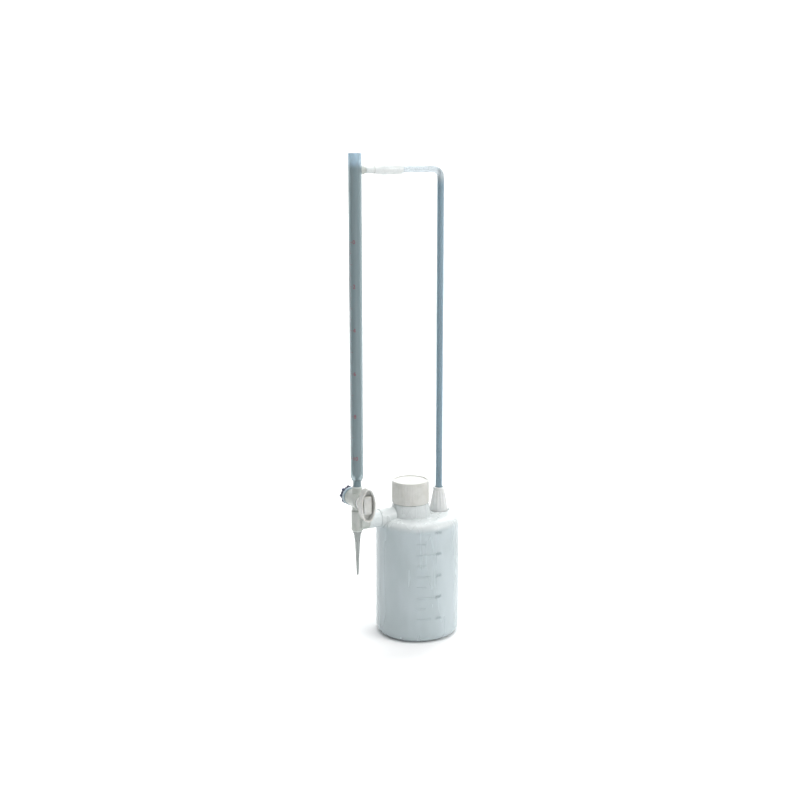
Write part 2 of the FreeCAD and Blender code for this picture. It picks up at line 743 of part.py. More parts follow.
def make_handle():
    """Oval dished handle with a central grip rib and a hub that takes the plug's stem."""
    x, level = cell("scale_x"), cell("plug_level")
    front, back = cell("handle_front"), cell("handle_back")
    high, wide, rim = cell("handle_half_height"), cell("handle_half_width"), cell("handle_rim")
    floor_at = back + cell("handle_floor")
    shell = cut("handle_shell", oval("handle_oval", high, wide, (x, -front, level), front - back),
                oval("handle_dish", high - rim, wide - rim, (x, -(front + 1), level), front + 1 - floor_at))
    rise, rib_width, rib_height = cell("rib_rise"), cell("rib_width"), cell("rib_height")
    rib = block("handle_rib", (rib_width, rise + 0.5, rib_height),
                (x - rib_width / 2, -(floor_at + rise), level - rib_height / 2))
    hub_start = cell("barrel_front") + cell("flange_thickness") + 0.6
    hub = rod("handle_hub", cell("plug_front_radius") + 0.6, (x, -(back + 0.5), level),
              back + 0.5 - hub_start, "Y")
    socket = rod("handle_socket", cell("stem_radius") + cell("fit_gap"),
                 (x, -(cell("stem_end") + 0.2), level), 12, "Y")
    return cut("stopcock_handle", join("handle_blank", shell, rib, hub), socket)


# ---------------------------------------------------------------- arm and tip

def make_arm():
    """Hollow arm that plugs into the stopcock's branch and the bottle's socket, with a seal ring."""
    level, stub = cell("arm_level"), cell("arm_stub")
    start, mouth = cell("branch_end") + 0.05, cell("socket_mouth") - 0.05
    stub_start = start - cell("stub_in_branch")
    stub_end = mouth + cell("stub_length") - cell("stub_in_branch")
    seal_x, section = cell("socket_mouth") + cell("arm_seal_depth"), cell("arm_seal_section")
    solid = join("arm_blank",
                 rod("arm_pipe", cell("arm_radius"), (start, 0, level), mouth - start, "X"),
                 rod("arm_stub_solid", stub, (stub_start, 0, level), stub_end - stub_start, "X"))
    hollow = rod("arm_hollow", cell("arm_bore"), (stub_start - 1, 0, level), stub_end - stub_start - 1, "X")
    groove = ring("arm_groove", stub - 0.75, section + 0.03, (seal_x, 0, level), "X")
    arm = cut("support_arm", solid, hollow, groove)
    return arm, ring("arm_seal", stub - 0.78, section, (seal_x, 0, level), "X")


def make_tip():
    """Drawn-out delivery tip and the thin seal above its shoulder."""
    x, bottom = cell("scale_x"), cell("body_bottom")
    shoulder = bottom - cell("tip_shoulder_drop")
    waist, end = cell("tip_waist_level"), cell("tip_end_level")
    stub, waist_radius, thick = cell("tip_stub"), cell("tip_waist_radius"), cell("tip_seal_thickness")
    solid = join("tip_blank",
                 rod("tip_plug", stub, (x, 0, shoulder), cell("tip_plug_length")),
                 rod("tip_shoulder", stub + 0.9, (x, 0, shoulder), 1.4),
                 taper("tip_upper", waist_radius, stub + 0.3, (x, 0, waist), shoulder - waist),
                 taper("tip_lower", cell("tip_end_radius"), waist_radius, (x, 0, end), waist - end))
    bore = join("tip_bore",
                taper("tip_drawn_bore", cell("tip_end_bore"), cell("outlet_bore"), (x, 0, end), waist - end),
                rod("tip_straight_bore", cell("outlet_bore"), (x, 0, waist), 40))
    seal = cut("tip_seal", rod("tip_seal_disc", stub + 1.3, (x, 0, bottom - thick - 0.05), thick),
               rod("tip_seal_hole", stub + cell("fit_gap"), (x, 0, bottom - 2), 3))
    return cut("delivery_tip", solid, bore), seal


# ---------------------------------------------------------------- build, check and write

NODES = [
    make_bottle(), *make_cap(), *make_gland(), *make_feed(), make_scale_tube(), *make_inlet(),
    make_stopcock_body(), make_bush(), *make_plug(), *make_tension_nut(), make_handle(), *make_arm(),
    *make_tip(),
]
doc.recompute()

failed = [thing.Label for thing in doc.Objects if {"Invalid", "Error"} & set(thing.State)]
if failed:
    raise ValueError(f"these objects failed: {failed}")

os.makedirs("parts", exist_ok=True)
for node in NODES:
    shape = node.Shape
    if shape.isNull() or not shape.isValid() or len(shape.Solids) != 1:
        raise ValueError(f"{node.Label} is not one valid solid")
    shape.exportStep(f"parts/{node.Label}.step")
    box = shape.BoundBox
    print(f"{node.Label:18s} {shape.Volume:10.1f} mm3  z {box.ZMin:7.2f} to {box.ZMax:7.2f}")
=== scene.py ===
"""Looks of a squeeze-bottle automatic burette: finishes, printed scale, moulded marks, light and camera."""
import json
import math

import bmesh
import bpy
from mathutils import Matrix, Vector

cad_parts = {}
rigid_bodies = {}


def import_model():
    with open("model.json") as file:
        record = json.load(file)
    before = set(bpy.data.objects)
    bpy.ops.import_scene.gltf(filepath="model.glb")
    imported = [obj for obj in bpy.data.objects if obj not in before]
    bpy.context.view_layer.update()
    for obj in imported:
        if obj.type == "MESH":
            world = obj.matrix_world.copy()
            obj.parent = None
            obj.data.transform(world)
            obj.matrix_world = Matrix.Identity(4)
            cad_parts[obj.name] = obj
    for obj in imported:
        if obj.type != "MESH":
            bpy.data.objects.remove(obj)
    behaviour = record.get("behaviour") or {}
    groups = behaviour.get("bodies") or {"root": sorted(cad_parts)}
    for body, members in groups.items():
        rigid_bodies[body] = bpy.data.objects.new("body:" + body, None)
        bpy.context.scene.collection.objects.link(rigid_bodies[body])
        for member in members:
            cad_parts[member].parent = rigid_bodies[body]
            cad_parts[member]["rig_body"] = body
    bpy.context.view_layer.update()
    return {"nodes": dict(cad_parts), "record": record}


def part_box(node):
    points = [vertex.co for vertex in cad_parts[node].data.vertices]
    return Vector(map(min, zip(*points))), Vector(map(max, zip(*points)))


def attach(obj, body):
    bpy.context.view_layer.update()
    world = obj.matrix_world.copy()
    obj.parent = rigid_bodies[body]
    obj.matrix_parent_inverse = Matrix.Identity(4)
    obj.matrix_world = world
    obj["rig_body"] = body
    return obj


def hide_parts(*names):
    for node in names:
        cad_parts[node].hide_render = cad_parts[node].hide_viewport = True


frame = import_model()

MM = 0.001

# Where things are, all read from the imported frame.
bottle_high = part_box("reservoir_bottle")[1]
tube_low, tube_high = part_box("burette_tube")
cap_low, cap_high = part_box("bottle_cap")
nozzle_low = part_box("zero_nozzle")[0]
sleeve_low, sleeve_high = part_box("joint_sleeve")
port_low, port_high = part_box("port_nut")
feed_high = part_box("fill_tube")[1]
TUBE_X = (tube_low.x + tube_high.x) / 2
TUBE_RADIUS = (tube_high.y - tube_low.y) / 2
BOTTLE_RADIUS = bottle_high.x
CAP_X = (cap_low.x + cap_high.x) / 2
PORT_X = (port_low.x + port_high.x) / 2
FEED_TOP = feed_high.z
ZERO_LEVEL = nozzle_low.z

# Printed scale of the tube.
SCALE_ML = 10
ML_STEP = 20 * MM
LINE_HEIGHT = 0.24 * MM
PRINT_THICKNESS = 0.03 * MM
SCALE_LEFT = math.radians(176)
TICK_TURN = {"long": math.radians(38), "half": math.radians(29), "short": math.radians(21)}
NUMERAL_TURN = math.radians(231)
NUMERAL_SIZE = 5.0 * MM

# Moulded marks of the bottle.
MARK_FIRST = 24.5 * MM
MARK_STEP = 10.57 * MM
MARK_COUNT = 9
MARK_FIRST_ML = 100
MARK_STEP_ML = 50
MARK_LEFT = math.radians(241)
MARK_TURN = {"long": math.radians(26), "mid": math.radians(20), "short": math.radians(13)}
MARK_NUMERAL_TURN = math.radians(272)
MARK_NUMERAL_SIZE = 4.4 * MM
MARK_HEIGHT = 0.75 * MM
MARK_RISE = 0.45 * MM
MARK_SUNK = 0.1 * MM
BASE_ROUND = 8 * MM
SHOULDER_START = 109 * MM

# Cap: how far its crown is dished below the rim, and the facets round its gate scar.
CROWN_DISH = 0.7 * MM
GATE_SIDES = 32

# Soft sleeve: how far its drawn-down end reaches along the nipple, and the facets round it.
SLEEVE_TAPER = 7.5 * MM
SLEEVE_SIDES = 48

# Camera: its place round the object, and where it points.
CAMERA_AZIMUTH = math.radians(28.1)
CAMERA_REACH = 1.2
CAMERA_HEIGHT = 0.484
CAMERA_TILT = math.radians(12)
CAMERA_TURN = math.radians(-0.8)
CAMERA_LENS = 58.4

# Studio: where the lights aim by default, and the least and most light that comes from the surroundings.
OBJECT_MIDDLE = (-0.01, 0.0, 0.18)
SURROUND_DIM = 0.31
SURROUND_BRIGHT = 0.66


# ---------------------------------------------------------------- procedural finishes

class Finish:
    """A Principled material with helpers that chain procedural textures into it."""

    def __init__(self, name, roughness, **constants):
        self.material = bpy.data.materials.new(name)
        self.material.use_nodes = True
        self.nodes = self.material.node_tree.nodes
        self.links = self.material.node_tree.links
        self.shader = self.nodes["Principled BSDF"]
        self.shader.inputs["Roughness"].default_value = roughness
        self.roughness = roughness
        for socket, value in constants.items():
            self.shader.inputs[socket.replace("_", " ")].default_value = value
        self.place = self.nodes.new("ShaderNodeTexCoord").outputs["Object"]

    def stretched(self, scale):
        """The surface position with each axis scaled on its own."""
        mapping = self.nodes.new("ShaderNodeMapping")
        mapping.inputs["Scale"].default_value = scale
        self.links.new(self.place, mapping.inputs["Vector"])
        return mapping.outputs["Vector"]

    def noise(self, scale, detail=3.0, stretch=None, roughness=0.55):
        """Cloudy noise, whose features are about one over scale metres wide."""
        texture = self.nodes.new("ShaderNodeTexNoise")
        texture.inputs["Scale"].default_value = scale
        texture.inputs["Detail"].default_value = detail
        texture.inputs["Roughness"].default_value = roughness
        source = self.place if stretch is None else self.stretched(stretch)
        self.links.new(source, texture.inputs["Vector"])
        return texture.outputs["Fac"]

    def cells(self, scale):
        """Distance to the nearest of many scattered points."""
        texture = self.nodes.new("ShaderNodeTexVoronoi")
        texture.inputs["Scale"].default_value = scale
        self.links.new(self.place, texture.inputs["Vector"])
        return texture.outputs["Distance"]

    def height(self):
        """The level above the table, in metres."""
        split = self.nodes.new("ShaderNodeSeparateXYZ")
        self.links.new(self.place, split.inputs["Vector"])
        return split.outputs["Z"]

    def from_axis(self, x):
        """The distance from an upright axis at x, in metres."""
        mapping = self.nodes.new("ShaderNodeMapping")
        mapping.inputs["Location"].default_value = (-x, 0, 0)
        mapping.inputs["Scale"].default_value = (1, 1, 0)
        self.links.new(self.place, mapping.inputs["Vector"])
        length = self.nodes.new("ShaderNodeVectorMath")
        length.operation = "LENGTH"
        self.links.new(mapping.outputs["Vector"], length.inputs[0])
        return length.outputs["Value"]

    def spread(self, value, low, high, first=0.0, last=1.0):
        """A value from low to high taken smoothly to first to last."""
        node = self.nodes.new("ShaderNodeMapRange")
        node.interpolation_type = "SMOOTHSTEP"
        self.links.new(value, node.inputs["Value"])
        for socket, number in zip(("From Min", "From Max", "To Min", "To Max"), (low, high, first, last)):
            node.inputs[socket].default_value = number
        return node.outputs["Result"]

    def times(self, value, other, operation="MULTIPLY"):
        """Two values combined by one arithmetic step."""
        node = self.nodes.new("ShaderNodeMath")
        node.operation = operation
        self.links.new(value, node.inputs[0])
        if isinstance(other, float):
            node.inputs[1].default_value = other
        else:
            self.links.new(other, node.inputs[1])
        return node.outputs["Value"]

    def tint(self, amount, below, above):
        """One colour changing into another as amount goes from 0 to 1."""
        node = self.nodes.new("ShaderNodeMix")
        node.data_type = "RGBA"
        self.links.new(amount, node.inputs["Factor"])
        for socket, colour in ((node.inputs[6], below), (node.inputs[7], above)):
            if isinstance(colour, tuple):
                socket.default_value = (*colour, 1.0)
            else:
                self.links.new(colour, socket)
        return node.outputs[2]

    def paint(self, colour):
        """Sets the base colour."""
        self.links.new(colour, self.shader.inputs["Base Color"])

    def clarity(self, amount):
        """Sets how much light passes through."""
        self.links.new(amount, self.shader.inputs["Transmission Weight"])

    def gloss(self, amount, change):
        """Makes the roughness vary about its middle with a value from 0 to 1."""
        low = max(0.02, self.roughness - change)
        self.links.new(self.spread(amount, 0.25, 0.75, low, self.roughness + change),
                       self.shader.inputs["Roughness"])

    def relief(self, *layers):
        """Stacks bumps, each a value and its depth in metres."""
        normal = None
        for value, depth in layers:
            bump = self.nodes.new("ShaderNodeBump")
            bump.inputs["Distance"].default_value = depth
            bump.inputs["Strength"].default_value = 1.0
            self.links.new(value, bump.inputs["Height"])
            if normal is not None:
                self.links.new(normal, bump.inputs["Normal"])
            normal = bump.outputs["Normal"]
        self.links.new(normal, self.shader.inputs["Normal"])


def bottle_finish():
    """Blown polyethylene: milky, faintly blue and cloudy, rubbed at its edges, and painted paler above the
    shoulder as a painted sheen from above.
    """
    made = Finish("blown_bottle", 0.27, IOR=1.45, Specular_IOR_Level=0.5)
    level = made.height()
    cloud = made.noise(34, 3, (1, 1, 0.5))
    streak = made.noise(70, 2, (1, 1, 0.12))
    tone = made.tint(made.spread(cloud, 0.3, 0.7), (0.55, 0.63, 0.65), (0.62, 0.70, 0.73))
    tone = made.tint(made.times(made.spread(streak, 0.45, 0.75), 0.3), tone, (0.66, 0.735, 0.755))
    # Painted sheen: everything above the shoulder is painted paler and greyer, as if lit from above.
    painted_top_sheen = made.spread(level, SHOULDER_START, SHOULDER_START + 6 * MM)
    tone = made.tint(painted_top_sheen, tone, (0.70, 0.74, 0.74))
    foot = made.spread(level, 0.0, 0.009, 1.0, 0.0)
    shoulder = made.spread(level, SHOULDER_START - 4 * MM, SHOULDER_START + 4 * MM)
    rub = made.times(made.spread(made.noise(420, 4), 0.5, 0.75), made.times(foot, shoulder, "MAXIMUM"))
    made.paint(made.tint(made.times(rub, 0.5), tone, (0.80, 0.83, 0.83)))
    made.clarity(made.spread(level, SHOULDER_START, SHOULDER_START + 8 * MM, 0.25, 0.15))
    made.gloss(streak, 0.03)
    made.relief((streak, 0.000008), (made.noise(1600, 2), 0.000002))
    return made.material


def extrusion_lines(made):
    """The long faint lines that a die leaves along an extruded tube."""
    return made.noise(520, 2, (1, 1, 0.02))


def scale_tube_finish():
    """The graduated tube: a clear wall over a darker painted core shade, greener below, and painted paler
    and bluer in the open mouth as light showing through.
    """
    made = Finish("scale_tube_plastic", 0.2, IOR=1.22)
    line = extrusion_lines(made)
    wall = made.spread(made.from_axis(TUBE_X), 4.05 * MM, 4.5 * MM)
    # Painted light: near the open mouth the inner wall and skin are painted paler and bluer, as light
    # showing through.
    mouth = made.spread(made.height(), tube_high.z - 14 * MM, tube_high.z - 9 * MM)
    # Painted shade: the inner wall is painted much darker than the skin, to darken the tube's middle.
    painted_core_shade = made.tint(mouth, (0.225, 0.315, 0.345), (0.34, 0.49, 0.59))
    skin = made.tint(mouth, (0.435, 0.53, 0.555), (0.58, 0.71, 0.79))
    tone = made.tint(wall, painted_core_shade, skin)
    made.paint(made.tint(made.times(made.spread(line, 0.35, 0.7), 0.14), tone, (0.66, 0.72, 0.73)))
    made.clarity(made.spread(wall, 0.0, 1.0, 0.25, 0.6))
    made.gloss(line, 0.04)
    made.relief((line, 0.00002), (made.noise(2200, 2), 0.000006))
    return made.material


def feed_tube_finish():
    """The fill tube: pale blue, with a painted core shade making a darker stripe up the riser, and painted
    lighter along the level run, where it looks almost clear.
    """
    made = Finish("fill_tube_plastic", 0.16, IOR=1.15)
    line = extrusion_lines(made)
    # Painted light: along the level run the painted core shade is lifted to pale grey and the skin is
    # painted greyer.
    run = made.spread(made.height(), FEED_TOP - 20 * MM, FEED_TOP - 8 * MM)
    wall = made.spread(made.from_axis(PORT_X), 2.8 * MM, 3.3 * MM)
    # Painted shade: up the riser the inner wall is painted dark blue, a dark stripe down the tube's middle.
    painted_core_shade = made.tint(run, (0.17, 0.30, 0.38), (0.66, 0.71, 0.74))
    skin = made.tint(run, (0.76, 0.85, 0.89), (0.76, 0.80, 0.82))
    made.paint(made.tint(made.times(made.spread(line, 0.35, 0.7), 0.12), made.tint(wall, painted_core_shade, skin),
                         (0.78, 0.85, 0.88)))
    made.clarity(made.spread(wall, 0.0, 1.0, 0.25, 0.8))
    made.gloss(line, 0.04)
    made.relief((line, 0.00002), (made.noise(2200, 2), 0.000006))
    return made.material


def tip_finish():
    """The drawn tip: grey and translucent, its colour and gloss varying along faint die lines."""
    made = Finish("tip_plastic", 0.24, Transmission_Weight=0.35, IOR=1.45)
    line = extrusion_lines(made)
    made.paint(made.tint(made.spread(line, 0.35, 0.7), (0.46, 0.495, 0.48), (0.54, 0.57, 0.56)))
    made.gloss(line, 0.05)
    made.relief((line, 0.00003), (made.noise(2200, 2), 0.00001))
    return made.material


def moulded_finish(name, low, high, roughness, wax=0.0, grime=None):
    """Injection-moulded plastic: slow flow clouds, a fine orange peel, specks and hairline scuffs."""
    made = Finish(name, roughness, IOR=1.5, Subsurface_Weight=wax,
                  Subsurface_Radius=(0.9, 0.8, 0.7), Subsurface_Scale=0.0016)
    cloud = made.noise(130, 4)
    peel = made.noise(1400, 2)
    scuff = made.spread(made.noise(1100, 5, (0.35, 1, 1), 0.7), 0.58, 0.68)
    tone = made.tint(made.spread(cloud, 0.3, 0.7), low, high)
    if grime is not None:
        speck = made.spread(made.cells(300), 0.03, 0.09, 1.0, 0.0)
        tone = made.tint(made.times(speck, made.times(made.spread(cloud, 0.5, 0.7), 0.35)), tone, grime)
    lighter = tuple(min(1.0, part * 1.04 + 0.01) for part in high)
    made.paint(made.tint(made.times(scuff, 0.4), tone, lighter))
    made.gloss(peel, 0.06)
    made.relief((cloud, 0.0001), (peel, 0.00002), (scuff, 0.00001))
    return made.material


def rubber_finish(name, low, high, roughness):
    """Soft elastomer: matt, dusty, with a fine grain."""
    made = Finish(name, roughness, Specular_IOR_Level=0.35)
    dust = made.noise(320, 4)
    grain = made.noise(3000, 3)
    made.paint(made.tint(made.spread(dust, 0.4, 0.75), low, high))
    made.gloss(grain, 0.08)
    made.relief((grain, 0.00003))
    return made.material


def print_finish():
    """Screen-printed ink, dark red, thin in places."""
    made = Finish("scale_ink", 0.42)
    wear = made.noise(1300, 4)
    made.paint(made.tint(made.spread(wear, 0.5, 0.72), (0.23, 0.015, 0.035), (0.34, 0.06, 0.085)))
    made.gloss(wear, 0.1)
    made.relief((wear, 0.00001))
    return made.material


FINISHES = {
    "bottle": bottle_finish(),
    "cap": moulded_finish("cap_plastic", (0.60, 0.60, 0.565), (0.67, 0.67, 0.645), 0.38, 0.3,
                          grime=(0.53, 0.52, 0.47)),
    "liner": rubber_finish("liner_foam", (0.70, 0.70, 0.67), (0.80, 0.80, 0.78), 0.7),
    "gland": moulded_finish("gland_plastic", (0.66, 0.67, 0.665), (0.72, 0.73, 0.73), 0.36, 0.3,
                            grime=(0.66, 0.66, 0.63)),
    "ferrule": rubber_finish("ferrule_rubber", (0.60, 0.61, 0.61), (0.72, 0.73, 0.73), 0.6),
    "feed": feed_tube_finish(),
    "sleeve": moulded_finish("sleeve_plastic", (0.66, 0.69, 0.685), (0.74, 0.765, 0.76), 0.26, 0.2),
    "scale_tube": scale_tube_finish(),
    "fitting": moulded_finish("fitting_plastic", (0.44, 0.47, 0.435), (0.51, 0.535, 0.51), 0.32, 0.25,
                              grime=(0.40, 0.41, 0.37)),
    "bush": rubber_finish("bush_rubber", (0.62, 0.66, 0.64), (0.72, 0.75, 0.74), 0.5),
    "plug": moulded_finish("plug_plastic", (0.80, 0.80, 0.79), (0.86, 0.86, 0.85), 0.4, 0.4),
    "seal": rubber_finish("seal_rubber", (0.020, 0.021, 0.023), (0.06, 0.06, 0.065), 0.6),
    "handle": moulded_finish("handle_plastic", (0.54, 0.545, 0.52), (0.62, 0.625, 0.605), 0.3, 0.5,
                             grime=(0.46, 0.45, 0.41)),
    "washer": moulded_finish("washer_plastic", (0.42, 0.53, 0.60), (0.52, 0.62, 0.68), 0.35, 0.2),
    "nut": moulded_finish("nut_plastic", (0.012, 0.022, 0.06), (0.03, 0.045, 0.10), 0.3),
    "arm": moulded_finish("arm_plastic", (0.60, 0.65, 0.655), (0.67, 0.71, 0.715), 0.28, 0.2),
    "tip": tip_finish(),
}
INK = print_finish()

NODE_SLOT = {part["node"]: part["material_slot"] for part in frame["record"]["subparts"]}
for node_name, node in frame["nodes"].items():
    for entry in node.material_slots:
        entry.material = FINISHES[NODE_SLOT[node_name]]


# ---------------------------------------------------------------- pieces

def add_piece(name, shape, material, body):
    """A finished mesh as a piece that rides on a body."""
    bmesh.ops.recalc_face_normals(shape, faces=shape.faces)
    mesh = bpy.data.meshes.new(name)
    shape.to_mesh(mesh)
    shape.free()
    mesh.materials.append(material)
    piece = bpy.data.objects.new(name, mesh)
    bpy.context.scene.collection.objects.link(piece)
    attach(piece, body)
    return piece


def closed_grid(shape, rings):
    """A closed tube of faces through rings of points, with both ends capped."""
    loops = [[shape.verts.new(point) for point in points] for points in rings]
    for first, second in zip(loops, loops[1:]):
        count = len(first)
        for index in range(count):
            following = (index + 1) % count
            shape.faces.new((first[index], first[following], second[following], second[index]))
    shape.faces.new(reversed(loops[0]))
    shape.faces.new(loops[-1])


def on_round(centre_x, radius, turn, level):
    """A point on an upright cylinder."""
    return Vector((centre_x + radius * math.cos(turn), radius * math.sin(turn), level))


def curved_bar(shape, centre_x, radius, start, turn, level, height, rise, sunk):
    """A short level bar that hugs an upright cylinder, sunk a little into it."""
    steps = max(3, math.ceil(turn * radius / MM))
    half = height / 2
    rings = []
    for step in range(steps + 1):
        angle = start + turn * step / steps
        section = ((-sunk, -half), (rise * 0.7, -half), (rise, -half * 0.5),
                   (rise, half * 0.5), (rise * 0.7, half), (-sunk, half))
        rings.append([on_round(centre_x, radius + out, angle, level + up) for out, up in section])
    closed_grid(shape, rings)


def wrapped_text(shape, text, size, centre_x, radius, turn, level, rise, sunk):
    """Adds text with its middle at an angle and level, wrapped round an upright cylinder."""
    curve = bpy.data.curves.new("numeral", "FONT")
    curve.body = text
    curve.size = size
    curve.extrude = (rise + sunk) / 2
    curve.align_x = "CENTER"
    curve.align_y = "CENTER"
    curve.resolution_u = 5
    holder = bpy.data.objects.new("numeral", curve)
    bpy.context.scene.collection.objects.link(holder)
    bpy.context.view_layer.update()
    flat = bpy.data.meshes.new_from_object(holder.evaluated_get(bpy.context.evaluated_depsgraph_get()))
    part = bmesh.new()
    part.from_mesh(flat)
    bmesh.ops.remove_doubles(part, verts=part.verts, dist=size * 0.0005)
    width = max(abs(vert.co.x) for vert in part.verts)
    spacing = size * 0.08
    for index in range(-math.floor(width / spacing), math.floor(width / spacing) + 1):
        everything = part.verts[:] + part.edges[:] + part.faces[:]
        bmesh.ops.bisect_plane(part, geom=everything, plane_co=(index * spacing, 0, 0), plane_no=(1, 0, 0))
    middle = (rise - sunk) / 2
    for vert in part.verts:
        along, up, out = vert.co
        vert.co = on_round(centre_x, radius + middle + out, turn + along / radius, level + up)
    result = bpy.data.meshes.new("numeral_wrapped")
    part.to_mesh(result)
    part.free()
    shape.from_mesh(result)
    bpy.data.objects.remove(holder)
    bpy.data.curves.remove(curve)
    for spare in (flat, result):
        bpy.data.meshes.remove(spare)


def make_scale():
    """Printed divisions every tenth of a millilitre, and a numeral every second millilitre."""
    lines = bmesh.new()
    for tenth in range(SCALE_ML * 10 + 1):
        kind = "long" if tenth % 10 == 0 else "half" if tenth % 5 == 0 else "short"
        level = ZERO_LEVEL - tenth * ML_STEP / 10
        curved_bar(lines, TUBE_X, TUBE_RADIUS, SCALE_LEFT, TICK_TURN[kind], level,
                   LINE_HEIGHT, PRINT_THICKNESS, PRINT_THICKNESS)
    add_piece("scale_lines", lines, INK, "base")
    numerals = bmesh.new()
    for millilitre in range(0, SCALE_ML + 1, 2):
        level = ZERO_LEVEL - millilitre * ML_STEP
        wrapped_text(numerals, str(millilitre), NUMERAL_SIZE, TUBE_X, TUBE_RADIUS, NUMERAL_TURN, level,
                     PRINT_THICKNESS, PRINT_THICKNESS)
    add_piece("scale_numerals", numerals, INK, "base")


def make_bottle_marks():
    """Raised level marks every 50 mL, with a numeral at every 100 mL."""
    marks = bmesh.new()
    for index in range(MARK_COUNT):
        volume = MARK_FIRST_ML + MARK_STEP_ML * index
        kind = "long" if volume % 200 == 0 else "mid" if volume % 100 == 0 else "short"
        level = MARK_FIRST + index * MARK_STEP
        curved_bar(marks, 0, BOTTLE_RADIUS, MARK_LEFT, MARK_TURN[kind], level,
                   MARK_HEIGHT, MARK_RISE, MARK_SUNK)
    for index in range(0, MARK_COUNT, 2):
        level = MARK_FIRST + index * MARK_STEP
        numeral = str(MARK_FIRST_ML + MARK_STEP_ML * index)
        wrapped_text(marks, numeral, MARK_NUMERAL_SIZE, 0, BOTTLE_RADIUS, MARK_NUMERAL_TURN, level,
                     MARK_RISE, MARK_SUNK)
    add_piece("bottle_marks", marks, FINISHES["bottle"], "base")


def make_seam():
    """The mould's parting line, a fine rib up both sides of the bottle."""
    profile = []
    centre = BOTTLE_RADIUS - BASE_ROUND
    for step in range(9):
        angle = math.radians(-80 + 10 * step)
        out = centre + BASE_ROUND * math.cos(angle)
        profile.append((out, BASE_ROUND + BASE_ROUND * math.sin(angle), angle))
    for step in range(1, 13):
        level = BASE_ROUND + (SHOULDER_START - BASE_ROUND) * step / 12
        profile.append((BOTTLE_RADIUS, level, 0.0))
    seam = bmesh.new()
    half, rise, sunk = 0.22 * MM, 0.14 * MM, 0.08 * MM
    for side in (1, -1):
        rings = []
        for out, level, angle in profile:
            normal = Vector((math.cos(angle) * side, 0, math.sin(angle)))
            spot = Vector((out * side, 0, level))
            across = Vector((0, half, 0))
            rings.append([spot - across - normal * sunk, spot - across * 0.6 + normal * rise,
                          spot + across * 0.6 + normal * rise, spot + across - normal * sunk])
        closed_grid(seam, rings)
    add_piece("bottle_seam", seam, FINISHES["bottle"], "base")


def make_gate():
    """The small round scar of the moulding gate, in the middle of the cap's crown."""
    gate = bmesh.new()
    crown = cap_high.z - CROWN_DISH
    rings = []
    for radius, level in ((1.9, -0.1), (1.8, 0.12), (1.5, 0.2), (0.7, 0.2), (0.5, 0.34), (0.2, 0.38)):
        rings.append([on_round(CAP_X, radius * MM, math.tau * step / GATE_SIDES, crown + level * MM)
                      for step in range(GATE_SIDES)])
    closed_grid(gate, rings)
    add_piece("cap_gate", gate, FINISHES["cap"], "cap")


def make_sleeve():
    """The soft sleeve, drawn down over the nipple at its outer end and rounded at both ends."""
    level = (sleeve_low.z + sleeve_high.z) / 2
    start = sleeve_low.x - SLEEVE_TAPER
    length = sleeve_high.x - start
    full = (sleeve_high.z - sleeve_low.z) / 2
    shape = bmesh.new()
    rings = []
    for along, share in ((0.0, 0.58), (0.01, 0.64), (0.10, 0.66), (0.20, 0.70), (0.28, 0.80), (0.36, 0.90),
                         (0.48, 0.98), (0.58, 1.0), (0.85, 0.99), (0.96, 0.97), (0.99, 0.93), (1.0, 0.86)):
        rings.append([Vector((start + length * along, full * share * math.cos(turn),
                              level + full * share * math.sin(turn)))
                      for turn in (math.tau * step / SLEEVE_SIDES for step in range(SLEEVE_SIDES))])
    closed_grid(shape, rings)
    piece = add_piece("joint_sleeve_soft", shape, FINISHES["sleeve"], "base")
    piece.data.shade_smooth()
    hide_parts("joint_sleeve")


def soften(node_name, voxel, passes):
    """Stands in for a CAD node with the same shape, its edges rounded as moulding rounds them."""
    source = frame["nodes"][node_name]
    blank = bpy.data.objects.new("blank", source.data.copy())
    bpy.context.scene.collection.objects.link(blank)
    weld = blank.modifiers.new("weld", "WELD")
    weld.merge_threshold = 0.002 * MM
    remesh = blank.modifiers.new("remesh", "REMESH")
    remesh.mode = "VOXEL"
    remesh.voxel_size = voxel
    smooth = blank.modifiers.new("smooth", "SMOOTH")
    smooth.factor = 0.5
    smooth.iterations = passes
    bpy.context.view_layer.update()
    mesh = bpy.data.meshes.new_from_object(blank.evaluated_get(bpy.context.evaluated_depsgraph_get()))
    bpy.data.objects.remove(blank)
    shape = bmesh.new()
    shape.from_mesh(mesh)
    bpy.data.meshes.remove(mesh)
    slot = NODE_SLOT[node_name]
    piece = add_piece(f"{node_name}_moulded", shape, FINISHES[slot], source["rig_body"])
    piece.data.shade_smooth()
    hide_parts(node_name)


make_scale()
make_bottle_marks()
make_seam()
make_gate()
make_sleeve()
soften("stopcock_handle", 0.22 * MM, 8)
soften("stopcock_body", 0.3 * MM, 6)
soften("tension_nut", 0.22 * MM, 4)
soften("port_nut", 0.22 * MM, 3)


# ---------------------------------------------------------------- floor, light and camera

def make_floor():
    """A plain pale floor that curves up into a backdrop."""
    shape = bmesh.new()
    half, rear, tall, bend = 3.0, 2.6, 3.5, 1.0
    outline = [(-half, 0.0), (rear - bend, 0.0)]
    for step in range(1, 13):
        angle = math.radians(90 * step / 12)
        outline.append((rear - bend + bend * math.sin(angle), bend - bend * math.cos(angle)))
    outline.append((rear, tall))
    rows = [[shape.verts.new((side, back, up)) for side in (-half, half)] for back, up in outline]
    for low, high in zip(rows, rows[1:]):
        shape.faces.new((low[0], low[1], high[1], high[0]))
    mesh = bpy.data.meshes.new("studio_floor")
    shape.to_mesh(mesh)
    shape.free()
    mesh.shade_smooth()
    made = Finish("studio_paper", 0.8)
    made.paint(made.tint(made.spread(made.noise(3, 2), 0.3, 0.7), (0.93, 0.93, 0.93), (0.945, 0.945, 0.945)))
    made.relief((made.noise(400, 2), 0.00005))
    mesh.materials.append(made.material)
    floor = bpy.data.objects.new("studio_floor", mesh)
    bpy.context.scene.collection.objects.link(floor)
    floor.matrix_world = Matrix.Rotation(-CAMERA_AZIMUTH, 4, "Z")


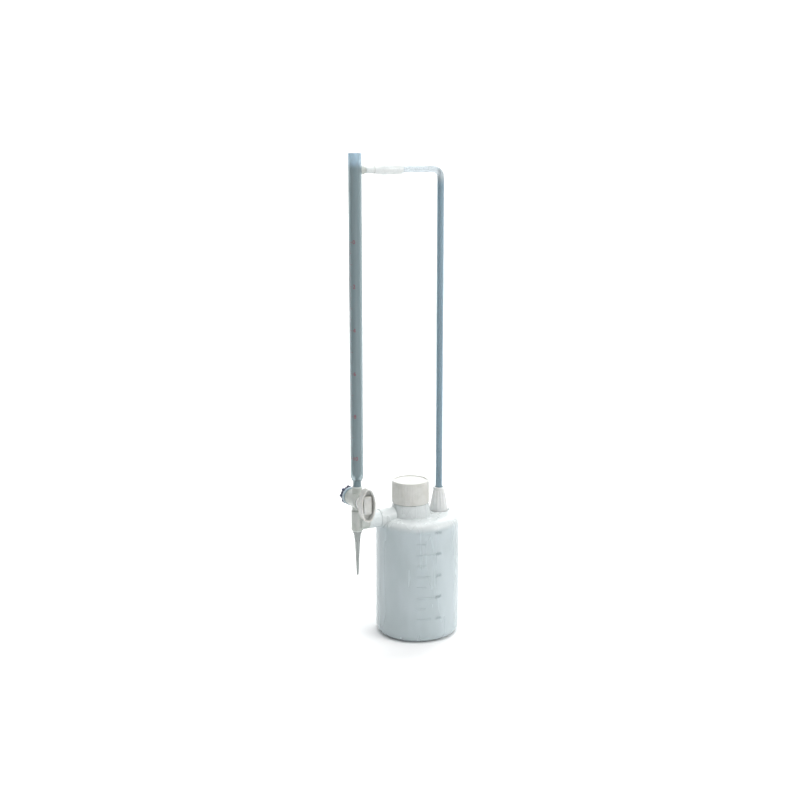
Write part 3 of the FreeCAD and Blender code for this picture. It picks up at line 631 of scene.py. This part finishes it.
def add_light(name, side, near, up, size, power, colour, target=OBJECT_MIDDLE):
    """A soft square light, placed from the camera's side: to its right, towards it and up."""
    across = Vector((math.cos(CAMERA_AZIMUTH), -math.sin(CAMERA_AZIMUTH), 0))
    towards = Vector((-math.sin(CAMERA_AZIMUTH), -math.cos(CAMERA_AZIMUTH), 0))
    lamp = bpy.data.lights.new(name, "AREA")
    lamp.size = size
    lamp.energy = power
    lamp.color = colour
    holder = bpy.data.objects.new(name, lamp)
    spot = across * side + towards * near + Vector((0, 0, up))
    aim = across * target[0] + towards * target[1] + Vector((0, 0, target[2]))
    facing = (aim - spot).to_track_quat("-Z", "Y")
    holder.matrix_world = Matrix.Translation(spot) @ facing.to_matrix().to_4x4()
    bpy.context.scene.collection.objects.link(holder)


def make_studio():
    """A white tent that is brighter above and to the right, with soft lights over, beside and behind."""
    world = bpy.data.worlds.new("studio")
    world.use_nodes = True
    nodes, links = world.node_tree.nodes, world.node_tree.links
    sky = nodes["Background"]
    sky.inputs["Color"].default_value = (0.975, 0.99, 1.0, 1)
    way = nodes.new("ShaderNodeTexCoord").outputs["Generated"]
    bright = nodes.new("ShaderNodeVectorMath")
    bright.operation = "DOT_PRODUCT"
    upper_right = Vector((math.cos(CAMERA_AZIMUTH), -math.sin(CAMERA_AZIMUTH), 1.0))
    bright.inputs[1].default_value = upper_right.normalized()
    links.new(way, bright.inputs[0])
    ramp = nodes.new("ShaderNodeMapRange")
    links.new(bright.outputs["Value"], ramp.inputs["Value"])
    sockets = ("From Min", "From Max", "To Min", "To Max")
    for socket, number in zip(sockets, (-0.8, 0.9, SURROUND_DIM, SURROUND_BRIGHT)):
        ramp.inputs[socket].default_value = number
    links.new(ramp.outputs["Result"], sky.inputs["Strength"])
    bpy.context.scene.world = world
    add_light("key_light", side=1.1, near=0.5, up=0.9, size=0.6, power=6, colour=(1.0, 0.99, 0.97))
    add_light("top_light", side=0.1, near=0.3, up=1.7, size=0.7, power=9, colour=(1.0, 1.0, 1.0))
    add_light("rim_light", side=0.5, near=-1.0, up=0.9, size=0.7, power=4, colour=(0.93, 0.97, 1.0))
    add_light("backdrop_light", side=0.0, near=-0.9, up=2.2, size=1.6, power=60, colour=(1.0, 1.0, 1.0),
              target=(0.0, -2.6, 0.9))
    bpy.context.scene.view_settings.view_transform = "Standard"


def make_camera():
    """The camera, without shift, at its place round the object."""
    lens = bpy.data.cameras.new("camera")
    lens.lens = CAMERA_LENS
    lens.sensor_width = 36
    lens.clip_start = 0.05
    lens.clip_end = 20
    holder = bpy.data.objects.new("camera", lens)
    back, aside = math.cos(CAMERA_AZIMUTH), math.sin(CAMERA_AZIMUTH)
    spot = Vector((-CAMERA_REACH * aside, -CAMERA_REACH * back, CAMERA_HEIGHT))
    turn = Matrix.Rotation(-(CAMERA_AZIMUTH + CAMERA_TURN), 4, "Z")
    tilt = Matrix.Rotation(math.pi / 2 - CAMERA_TILT, 4, "X")
    holder.matrix_world = Matrix.Translation(spot) @ turn @ tilt
    bpy.context.scene.collection.objects.link(holder)
    bpy.context.scene.camera = holder


make_floor()
make_studio()
make_camera()
